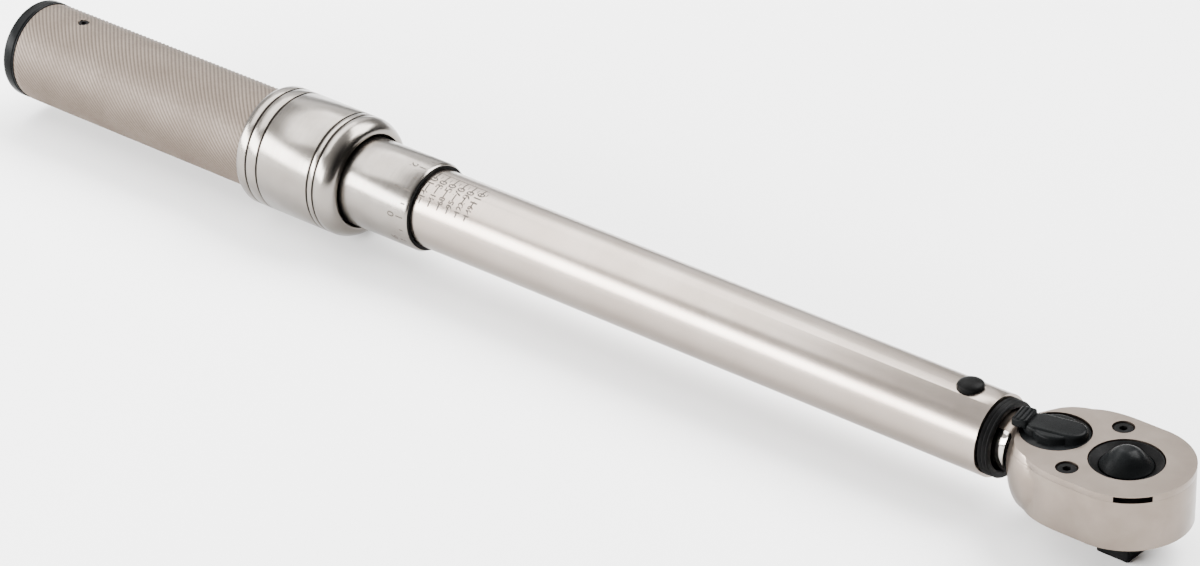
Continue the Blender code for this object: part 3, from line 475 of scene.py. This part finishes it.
def pry_slot():
    """Cutter for the short notch in the plate's edge."""
    inner = NOSE_RADIUS - 3.0 * MM
    outer = NOSE_RADIUS + 3.0 * MM
    slot = prism("slot", [(inner, -SLOT_HALF_WIDTH), (outer, -SLOT_HALF_WIDTH),
                          (outer, SLOT_HALF_WIDTH), (inner, SLOT_HALF_WIDTH)],
                 PLATE_BOTTOM - 1.0 * MM, HEAD_TOP - 0.25 * MM)
    slot.data.transform(Matrix.Rotation(math.radians(SLOT_DEGREES), 4, "Z"))
    return slot


def flatten_plate_and_paint_notch_shade(plate):
    """Shade the level faces flat, and paint shade into the notch by giving the faces inside it the
    black material.
    """
    # The second slot's black material is painted shade inside the notch.
    plate.data.materials.append(LOOKS["black_oxide"])
    for face in plate.data.polygons:
        face.use_smooth = abs(face.normal.z) < 0.999
        turned = math.degrees(math.atan2(face.center.y, face.center.x)) - SLOT_DEGREES
        reach = math.hypot(face.center.x, face.center.y)
        inside = HEAD_TOP - 1.7 * MM < face.center.z < HEAD_TOP - 0.2 * MM
        if abs(turned) < 17.5 and 13.9 * MM < reach < 17.05 * MM and inside:
            face.material_index = 1


def build_cover_plate():
    """The lid of the head, with openings for the drive and lever and two screw seats."""
    plate = head_solid("plate_polished")
    boolean(plate, half_space("below", -10 * MM, PLATE_BOTTOM), "DIFFERENCE")
    trim = prism("trim", [(-80 * MM, -20 * MM), (-36.2 * MM, -20 * MM), (-36.2 * MM, 20 * MM),
                          (-80 * MM, 20 * MM)], 0.0, 40 * MM)
    boolean(plate, trim, "DIFFERENCE")
    boolean(plate, pin_cutter(0.0, 0.0, 9.6 * MM, 0.0, 40 * MM, 128), "DIFFERENCE")
    boolean(plate, pin_cutter(LEVER_X, 0.0, 9.1 * MM, 0.0, 40 * MM, 128), "DIFFERENCE")
    screw = centre("cover_screw_1")
    for side in (-1, 1):
        y = side * abs(screw.y)
        boolean(plate, pin_cutter(screw.x, y, 2.9 * MM, HEAD_TOP - 0.9 * MM, 40 * MM, 48),
                "DIFFERENCE")
        boolean(plate, pin_cutter(screw.x, y, 1.5 * MM, 0.0, 40 * MM, 32), "DIFFERENCE")
    soften(plate, 0.35 * MM, 3, 50.0)
    boolean(plate, pry_slot(), "DIFFERENCE")
    soften(plate, 0.0)
    place(plate, "nickel", "head", "nickel", "cover_plate")
    flatten_plate_and_paint_notch_shade(plate)


def build_cover_screw(number):
    name = "cover_screw_" + str(number)
    middle = centre(name)
    top = high(name).z
    head = radius_y(name)
    foot = low(name).z
    profile = [(0.0, top), (head - 0.5 * MM, top), (head, top - 0.35 * MM),
               (head, top - 0.55 * MM), (1.3 * MM, top - 0.55 * MM), (1.3 * MM, foot),
               (0.0, foot)]
    screw = spin("cover_screw_black_" + str(number), profile, Vector((middle.x, middle.y, 0.0)),
                 Z_AXIS, 48)
    hexagon = []
    for i in range(6):
        angle = math.radians(60.0 * i + 12.0)
        hexagon.append((middle.x + 1.15 * MM * math.cos(angle),
                        middle.y + 1.15 * MM * math.sin(angle)))
    boolean(screw, prism("socket", hexagon, top - 1.3 * MM, top + 1 * MM), "DIFFERENCE")
    soften(screw, 0.06 * MM)
    place(screw, "black_oxide", "head", "black_oxide", name)


# ---------------------------------------------------------------- lever, drive and button

def build_lever():
    """The black reversing lever: a round hub, a thumb bar across it and a ribbed tab."""
    top = HEAD_TOP - 0.5 * MM
    flange = PLATE_BOTTOM - 0.3 * MM
    floor = HEAD_BOTTOM + 12.4 * MM
    foot = low("reverse_lever").z
    hub = spin("lever_hub", [(0.0, top), (LEVER_RADIUS, top), (LEVER_RADIUS, flange),
                             (9.3 * MM, flange), (9.3 * MM, floor), (2.4 * MM, floor),
                             (2.4 * MM, foot), (0.0, foot)], Vector((0.0, 0.0, 0.0)), Z_AXIS, 96)
    bar = prism("bar", capsule(4.3 * MM, -4.3 * MM, 4.2 * MM), top - 1 * MM,
                HEAD_TOP + 2.0 * MM, 0.25 * MM)
    soften(bar, 0.9 * MM, 4)
    boss = pin_cutter(0.0, 0.0, 5.9 * MM, top - 1 * MM, HEAD_TOP + 1.6 * MM)
    soften(boss, 0.7 * MM, 4)
    tab = prism("tab", [(-10.7 * MM, -3.7 * MM), (-6.2 * MM, -3.7 * MM), (-6.2 * MM, 3.7 * MM),
                        (-10.7 * MM, 3.7 * MM)], HEAD_TOP + 0.5 * MM, HEAD_TOP + 3.1 * MM,
                0.3 * MM)
    soften(tab, 0.8 * MM, 4)
    for i in range(3):
        x = (-7.4 - 1.2 * i) * MM
        rib = prism("rib", [(x, -5 * MM), (x + 0.45 * MM, -5 * MM), (x + 0.45 * MM, 5 * MM),
                            (x, 5 * MM)], HEAD_TOP + 2.8 * MM, HEAD_TOP + 6 * MM)
        boolean(tab, rib, "DIFFERENCE")
    soften(hub, 0.35 * MM, 3)
    boolean(hub, boss, "UNION")
    boolean(hub, bar, "UNION")
    boolean(hub, tab, "UNION")
    soften(hub, 0.18 * MM, 2, 40.0)
    hub.data.transform(Matrix.Translation((LEVER_X, 0.0, 0.0))
                       @ Matrix.Rotation(LEVER_REST, 4, "Z"))
    place(hub, "plastic", "lever", "plastic", "reverse_lever")


def gear_outline():
    """The toothed edge of the drive: root, tip, tip, root for each tooth."""
    pitch = 2 * math.pi / TEETH
    points = []
    for tooth in range(TEETH):
        for radius, share in ((GEAR_ROOT, -0.40), (GEAR_TIP, -0.12), (GEAR_TIP, 0.12),
                              (GEAR_ROOT, 0.40)):
            angle = pitch * (tooth + share)
            points.append((radius * MM * math.cos(angle), radius * MM * math.sin(angle)))
    return points


def build_drive():
    """Gear, dish and square drive in one piece, bored for the button and the ball."""
    gear_low = HEAD_BOTTOM + 2.9 * MM
    gear_high = HEAD_BOTTOM + 11.4 * MM
    drive = prism("drive_gear_dished", gear_outline(), gear_low, gear_high)
    rim = HEAD_TOP - 0.35 * MM
    body = spin("boss", [(0.0, rim), (DISH_RADIUS, rim), (DISH_RADIUS, gear_low + 2 * MM),
                         (7.6 * MM, gear_low + 1 * MM), (7.6 * MM, HEAD_BOTTOM - 0.8 * MM),
                         (0.0, HEAD_BOTTOM - 0.8 * MM)], Vector((0.0, 0.0, 0.0)), Z_AXIS, 128)
    square = prism("square", [(-SQUARE_HALF, -SQUARE_HALF), (SQUARE_HALF, -SQUARE_HALF),
                              (SQUARE_HALF, SQUARE_HALF), (-SQUARE_HALF, SQUARE_HALF)],
                   0.0, gear_low + 3 * MM)
    soften(square, 0.6 * MM, 3)
    boolean(drive, body, "UNION")
    boolean(drive, square, "UNION")
    floor = low("button_spring").z - 0.1 * MM
    dish = spin("dish", [(0.0, 60 * MM), (DISH_RADIUS - 0.3 * MM, 60 * MM),
                         (DISH_RADIUS - 0.3 * MM, rim), (DISH_RADIUS - 1.2 * MM, rim - 0.7 * MM),
                         (BUTTON_RADIUS + 0.25 * MM, rim - 1.2 * MM),
                         (BUTTON_RADIUS + 0.25 * MM, floor), (2.2 * MM, floor),
                         (2.2 * MM, 1.6 * MM), (0.0, 1.6 * MM)], Vector((0.0, 0.0, 0.0)),
                Z_AXIS, 128)
    boolean(drive, dish, "DIFFERENCE")
    ball = centre("retaining_ball")
    bore = spin("bore", [(0.0, 0.0), (1.68 * MM, 0.0), (1.68 * MM, 8 * MM), (0.0, 8 * MM)],
                Vector((0.0, 0.0, ball.z)), -X_AXIS, 40)
    boolean(drive, bore, "DIFFERENCE")
    soften(drive, 0.12 * MM, 2)
    place(drive, "black_oxide", "drive", "black_oxide", "drive_gear")


def build_button():
    """The domed release button and the grooved stem under it."""
    top = high("release_button").z
    foot = low("release_button").z
    ball = centre("retaining_ball").z
    skirt = high("button_spring").z + 0.1 * MM
    stem = 1.9 * MM
    crown = [(-1.2, -0.05), (0.0, 0.0), (1.2, -0.05), (2.3, -0.35), (3.5, -1.1), (4.5, -2.1),
             (5.5, -3.3), (6.3, -4.2), (6.8, -4.7), (7.2, -5.1)]
    profile = [(radius, top + fall) for radius, fall in smooth_line(crown, 4)]
    profile += [(BUTTON_RADIUS, top - 4.7 * MM), (BUTTON_RADIUS, skirt), (stem, skirt),
                (stem, ball + 3.5 * MM), (0.9 * MM, ball + 2.5 * MM), (0.9 * MM, ball + 1.1 * MM),
                (stem, ball + 0.5 * MM), (stem, foot), (0.0, foot)]
    button = spin("button_domed", profile, Vector((0.0, 0.0, 0.0)), Z_AXIS, 96)
    soften(button, 0.15 * MM, 2)
    place(button, "plastic", "button", "black_oxide", "release_button")


# ---------------------------------------------------------------- handle

def knurled(name, front, rear, radius, across=0.75 * MM):
    """A closed sleeve whose outside is cut into small diamonds, point up."""
    around = int(2 * math.pi * radius / across / 2) * 2
    along = int((front - rear) / across / 2) * 2
    bore = radius - 2.0 * MM
    shape = bmesh.new()
    # This vertex layer marks the sunk points, which the knurl material darkens as painted shade in the
    # valleys.
    layer = shape.verts.layers.float.new("painted_hollow_shade")
    rings = []
    for i in range(along + 1):
        x = rear + (front - rear) * i / along
        edge = min(i, along - i) < 2
        ring = []
        for j in range(around):
            sunk = (i + j) % 2
            height = radius - (KNURL_DEPTH if edge or sunk else 0.0)
            angle = 2 * math.pi * j / around
            vert = shape.verts.new((x, height * math.cos(angle), TUBE_Z + height * math.sin(angle)))
            vert[layer] = float(sunk)
            ring.append(vert)
        rings.append(ring)
    for x in (front, rear):
        rings.append([shape.verts.new((x, bore * math.cos(2 * math.pi * j / around),
                                       TUBE_Z + bore * math.sin(2 * math.pi * j / around)))
                      for j in range(around)])
    for i, ring in enumerate(rings):
        other = rings[(i + 1) % len(rings)]
        for j in range(around):
            shape.faces.new((ring[j], ring[(j + 1) % around], other[(j + 1) % around], other[j]))
    return from_bmesh(name, shape)


def build_grip():
    grip = knurled("grip_knurled", GRIP_SHOULDER, low("grip").x, radius_y("grip"))
    screw = centre("grip_set_screw")
    cutter = pin_cutter(screw.x, screw.y, 1.75 * MM, TUBE_Z + 6 * MM, 60 * MM, 40)
    boolean(grip, cutter, "DIFFERENCE")
    grip.data.shade_smooth()
    grip.data.set_sharp_from_angle(angle=math.radians(75.0))
    place(grip, "knurl", "handle", "knurl", "grip")


def build_sleeve():
    """The grip's smooth front end under the lock ring, with its ring groove and ball holes."""
    front = high("grip").x
    groove = high("retaining_ring").x + 0.05 * MM
    back = low("retaining_ring").x - 0.05 * MM
    mouth = 12.35 * MM
    mouth_bore = 11.8 * MM
    groove_floor = 12.05 * MM
    outer = 12.95 * MM
    step = -265 * MM
    bore_end = -270.3 * MM
    sleeve = spin("grip_sleeve", [
        (mouth_bore, front), (mouth, front), (mouth, groove), (groove_floor, groove),
        (groove_floor, back), (mouth, back), (mouth, step), (outer, step),
        (outer, GRIP_SHOULDER), (mouth, GRIP_SHOULDER), (mouth, bore_end),
        (mouth_bore, bore_end)])
    for i in range(3):
        angle = math.radians(90.0 + 120.0 * i)
        outward = Vector((0.0, math.cos(angle), math.sin(angle)))
        hole = spin("ball_hole", [(0.0, 5 * MM), (1.1 * MM, 5 * MM), (1.1 * MM, 20 * MM),
                                  (0.0, 20 * MM)],
                    Vector((centre("lock_ball_1").x, 0.0, TUBE_Z)), outward, 32)
        boolean(sleeve, hole, "DIFFERENCE")
    soften(sleeve, 0.0)
    place(sleeve, "steel", "handle", "knurl")


def build_thimble():
    """The smooth barrel in front of the lock ring, and a black ring at its front edge as painted shade
    where it meets the tube.
    """
    front = high("thimble").x
    rear = -251.2 * MM
    radius = radius_y("thimble")
    profile = [(11.3 * MM, front - 0.3 * MM), (11.5 * MM, front), (radius - 0.45 * MM, front),
               (radius, front - 0.9 * MM), (radius, rear), (11.75 * MM, rear),
               (11.75 * MM, low("thimble").x), (11.3 * MM, low("thimble").x)]
    thimble = soften(spin("thimble_satin", profile, steps=192), 0.12 * MM, 3)
    place(thimble, "satin", "handle", "satin", "thimble")
    # A thin black ring over the gap between the thimble's face and the tube: painted shade.
    line = spin("thimble_edge_painted_shade", [(11.12 * MM, front + 0.02 * MM),
                                      (11.9 * MM, front + 0.02 * MM),
                                      (11.95 * MM, front + 0.35 * MM),
                                      (11.12 * MM, front + 0.35 * MM)], steps=128)
    soften(line, 0.0)
    place(line, "black_oxide", "handle", "satin")


def build_lock_ring():
    """The pull-back ring: a rounded shoulder in front and turned grooves, with painted shade on the
    groove floors.
    """
    rear = low("lock_ring").x
    radius = radius_y("lock_ring")
    shoulder = [(12.6, -249.9), (13.4, -249.42), (14.1, -249.5), (14.9, -249.85), (15.7, -250.6),
                (16.35, -251.7), (16.8, -252.8), (17.0, -253.9), (17.0, -255.0)]
    profile = [(13.1 * MM, -249.9 * MM)] + smooth_line(shoulder, 4)
    for x in RING_GROOVES:
        profile += [(radius, x + 0.38 * MM), (radius - 0.5 * MM, x + 0.25 * MM),
                    (radius - 0.5 * MM, x - 0.25 * MM), (radius, x - 0.38 * MM)]
    profile += [(radius, rear + 1.4 * MM), (radius - 0.45 * MM, rear + 0.4 * MM),
                (radius - 1.1 * MM, rear), (14.6 * MM, rear), (14.6 * MM, -258 * MM),
                (12.6 * MM, -258 * MM), (12.6 * MM, -254 * MM), (13.1 * MM, -254 * MM)]
    ring = soften(spin("lock_ring_turned", profile, steps=192), 0.06 * MM)
    # Mark the groove floors, which the satin material darkens as painted shade.
    layer = ring.data.attributes.new("painted_hollow_shade", "FLOAT", "POINT")
    for vert in ring.data.vertices:
        reach = math.hypot(vert.co.y, vert.co.z - TUBE_Z)
        layer.data[vert.index].value = float(15 * MM < reach < radius - 0.2 * MM
                                             and -282 * MM < vert.co.x < -254.6 * MM)
    place(ring, "satin", "ring", "satin", "lock_ring")


def build_retaining_ring():
    front = high("retaining_ring").x
    rear = low("retaining_ring").x
    outer = radius_y("retaining_ring")
    ring = spin("snap_ring", [(12.1 * MM, front), (outer, front), (outer, rear),
                              (12.1 * MM, rear)], steps=128)
    soften(ring, 0.15 * MM, 3)
    place(ring, "black_oxide", "handle", "black_oxide", "retaining_ring")


def build_end_cap():
    rear = low("end_cap").x
    seat = low("grip").x - 0.05 * MM
    radius = radius_y("end_cap")
    profile = [(0.0, rear + 0.5 * MM), (radius - 4.2 * MM, rear + 0.5 * MM),
               (radius - 3.6 * MM, rear), (radius - 1.4 * MM, rear)]
    for i in range(1, 8):
        angle = math.radians(90.0 * i / 7)
        profile.append((radius - 1.4 * MM + 1.4 * MM * math.sin(angle),
                        rear + 1.4 * MM - 1.4 * MM * math.cos(angle)))
    profile += [(radius, seat - 0.9 * MM), (radius - 0.3 * MM, seat - 0.6 * MM),
                (radius - 0.05 * MM, seat - 0.3 * MM), (radius - 0.1 * MM, seat),
                (11.95 * MM, seat), (11.95 * MM, high("end_cap").x), (0.0, high("end_cap").x)]
    cap = soften(spin("end_cap_black", profile), 0.1 * MM)
    place(cap, "plastic", "handle", "plastic", "end_cap")


# ---------------------------------------------------------------- engraved scales

def bent_on(mesh, radius, x, degrees, turn=0.0):
    """Lay a flat mesh on a cylinder round the tube's axis at an angle up from -Y."""
    mesh.transform(Matrix.Rotation(math.radians(turn), 4, "Z"))
    base = math.radians(degrees)
    for vert in mesh.vertices:
        angle = base + vert.co.y / radius
        reach = radius + vert.co.z
        vert.co = (x + vert.co.x, -reach * math.cos(angle), TUBE_Z + reach * math.sin(angle))


def tick(length, width, height=0.02 * MM):
    shape = bmesh.new()
    bmesh.ops.create_cube(shape, size=1.0,
                          matrix=Matrix.Diagonal((length, width, height, 1.0)))
    bmesh.ops.subdivide_edges(shape, edges=[edge for edge in shape.edges
                                            if abs((edge.verts[0].co - edge.verts[1].co).y) > 0.0],
                              cuts=1 + int(width / (0.5 * MM)))
    mesh = bpy.data.meshes.new("tick")
    shape.to_mesh(mesh)
    shape.free()
    return mesh


def digits(text, size):
    curve = bpy.data.curves.new("digits", "FONT")
    curve.body = text
    curve.size = size
    curve.align_x = "CENTER"
    curve.align_y = "CENTER"
    curve.extrude = 0.01 * MM
    curve.offset = 0.07 * MM
    curve.resolution_u = 3
    holder = bpy.data.objects.new("digits", curve)
    bpy.context.scene.collection.objects.link(holder)
    graph = bpy.context.evaluated_depsgraph_get()
    mesh = bpy.data.meshes.new_from_object(holder.evaluated_get(graph))
    bpy.data.objects.remove(holder, do_unlink=True)
    return mesh


def joined(name, meshes):
    shape = bmesh.new()
    for mesh in meshes:
        shape.from_mesh(mesh)
    mesh = bpy.data.meshes.new(name)
    shape.to_mesh(mesh)
    shape.free()
    obj = bpy.data.objects.new(name, mesh)
    bpy.context.scene.collection.objects.link(obj)
    return obj


def build_tube_scale():
    """The main scale in front of the thimble: two rows of graduations with numbers."""
    start = high("thimble").x + 2.0 * MM
    step = 3.2 * MM
    marks = []
    for i in range(6):
        x = start + step * i
        for degrees, length in ((84.0, 2.4), (60.0, 1.8), (38.0, 1.4)):
            mark = tick(0.42 * MM, length * 1.25 * MM)
            bent_on(mark, TUBE_RADIUS, x, degrees)
            marks.append(mark)
        number = digits(str(10 + 20 * i), 3.3 * MM)
        bent_on(number, TUBE_RADIUS, x + 0.2 * MM, 72.0, 90.0)
        marks.append(number)
        smaller = digits(str(14 + 27 * i), 2.5 * MM)
        bent_on(smaller, TUBE_RADIUS, x + 0.2 * MM, 48.0, 90.0)
        marks.append(smaller)
        half = tick(0.2 * MM, 1.2 * MM)
        bent_on(half, TUBE_RADIUS, x + step / 2, 84.0)
        marks.append(half)
    line = tick(step * 5.4, 0.24 * MM)
    bent_on(line, TUBE_RADIUS, start + step * 2.6, 93.0)
    marks.append(line)
    place(joined("tube_scale", marks), "ink", "tube_body", "nickel")


def build_thimble_scale():
    """Numbers and short ticks round the thimble's front edge."""
    front = high("thimble").x
    radius = radius_y("thimble")
    marks = []
    for i in range(20):
        degrees = 18.0 * i + 8.0
        numbered = i % 2 == 0
        mark = tick((2.4 if numbered else 1.4) * MM, 0.38 * MM)
        bent_on(mark, radius, front - (2.4 if numbered else 1.9) * MM, degrees)
        marks.append(mark)
        if numbered:
            number = digits(str(i // 2), 3.2 * MM)
            bent_on(number, radius, front - 5.6 * MM, degrees, -90.0)
            marks.append(number)
    place(joined("thimble_scale", marks), "ink", "handle", "satin")


# ---------------------------------------------------------------- carried-over nodes

INNER_LOOKS = {
    "brass": ("load_nut", "drive_flange"),
    "black_oxide": ("main_spring", "grip_set_screw"),
    "steel": ("nut_pin_top", "nut_pin_bottom", "pawl_pin", "button_spring", "retaining_ball",
              "pawl_plunger", "pawl_spring", "pawl", "plunger", "tilt_block", "spring_seat",
              "thrust_ball", "load_screw", "lock_nut", "lock_ball_1", "lock_ball_2",
              "lock_ball_3", "lock_ring_spring"),
}


def dress_inner_nodes():
    """Give a finish to the nodes that keep their CAD shape."""
    for look, names in INNER_LOOKS.items():
        for name in names:
            for slot in NODES[name].material_slots:
                slot.material = LOOKS[look]


# ---------------------------------------------------------------- studio

def build_floor():
    shape = bmesh.new()
    bmesh.ops.create_grid(shape, x_segments=1, y_segments=1, size=4.0)
    floor = from_bmesh("floor", shape)
    material = bpy.data.materials.new("floor_paper")
    material.use_nodes = True
    shader = material.node_tree.nodes["Principled BSDF"]
    shader.inputs["Base Color"].default_value = (0.93, 0.93, 0.93, 1.0)
    shader.inputs["Roughness"].default_value = 0.9
    floor.data.materials.append(material)


def area_light(name, place_at, aim, size, power):
    light = bpy.data.lights.new(name, "AREA")
    light.shape = "RECTANGLE"
    light.size = size[0]
    light.size_y = size[1]
    light.energy = power
    obj = bpy.data.objects.new(name, light)
    obj.location = place_at
    obj.rotation_euler = (Vector(aim) - Vector(place_at)).to_track_quat("-Z", "Y").to_euler()
    bpy.context.scene.collection.objects.link(obj)


def build_lights():
    """Two strips for the tube's bright bands, a fill for the level faces, light from above."""
    aim = (-0.18, 0.0, 0.02)
    area_light("low_softbox", (-0.86, -0.94, 0.34), aim, (1.6, 0.42), 75.0)
    area_light("high_strip", (-0.97, 0.06, 1.17), aim, (1.9, 0.7), 41.0)
    area_light("back_fill", (-1.2, 1.18, 0.92), aim, (1.0, 1.0), 7.0)
    area_light("overhead", (0.3, 1.2, 1.7), aim, (1.5, 1.5), 160.0)
    build_sky()


def build_sky():
    """A pale sky that falls to near black toward +X, for the dark side of the reflections."""
    world = bpy.data.worlds.new("studio")
    world.use_nodes = True
    tree = world.node_tree
    background = tree.nodes["Background"]
    places = node(tree, "ShaderNodeTexCoord").outputs["Generated"]
    split = node(tree, "ShaderNodeSeparateXYZ")
    tree.links.new(places, split.inputs["Vector"])
    level = {}
    for axis, stops in (("X", ((0.0, 1.0), (0.2, 0.55), (0.42, 0.03))),
                        ("Y", ((0.0, 1.0), (0.6, 1.0), (0.8, 0.45))),
                        ("Z", ((0.0, 0.85), (0.25, 0.7), (0.5, 0.58), (1.0, 0.5)))):
        grey = [(position, (value, value, value)) for position, value in stops]
        level[axis] = ramp(tree, split.outputs[axis], grey)
    sides = node(tree, "ShaderNodeMath", operation="MULTIPLY")
    tree.links.new(level["X"], sides.inputs[0])
    tree.links.new(level["Y"], sides.inputs[1])
    sky = node(tree, "ShaderNodeMath", operation="MULTIPLY")
    tree.links.new(sides.outputs["Value"], sky.inputs[0])
    tree.links.new(level["Z"], sky.inputs[1])
    brightness = node(tree, "ShaderNodeMath", operation="MULTIPLY")
    brightness.inputs[1].default_value = 1.9
    tree.links.new(sky.outputs["Value"], brightness.inputs[0])
    tree.links.new(brightness.outputs["Value"], background.inputs["Strength"])
    background.inputs["Color"].default_value = (1.0, 1.0, 1.0, 1.0)
    bpy.context.scene.world = world


def build_camera():
    data = bpy.data.cameras.new("camera")
    data.lens = 148.58
    data.sensor_width = 36.0
    data.clip_start = 0.01
    camera = bpy.data.objects.new("camera", data)
    turn = (Matrix.Rotation(math.radians(40.605), 4, "Z")
            @ Matrix.Rotation(math.radians(90.0 - 29.851), 4, "X")
            @ Matrix.Rotation(math.radians(-1.0365), 4, "Z"))
    camera.matrix_world = Matrix.Translation((0.5684, -0.8586, TUBE_Z + 0.64625)) @ turn
    bpy.context.scene.collection.objects.link(camera)
    bpy.context.scene.camera = camera


build_camera()
build_tube()
build_pivot_pin()
build_seal()
build_head_body()
build_cover_plate()
build_cover_screw(1)
build_cover_screw(2)
build_lever()
build_drive()
build_button()
build_grip()
build_sleeve()
build_thimble()
build_lock_ring()
build_retaining_ring()
build_end_cap()
build_tube_scale()
build_thimble_scale()
dress_inner_nodes()
build_floor()
build_lights()
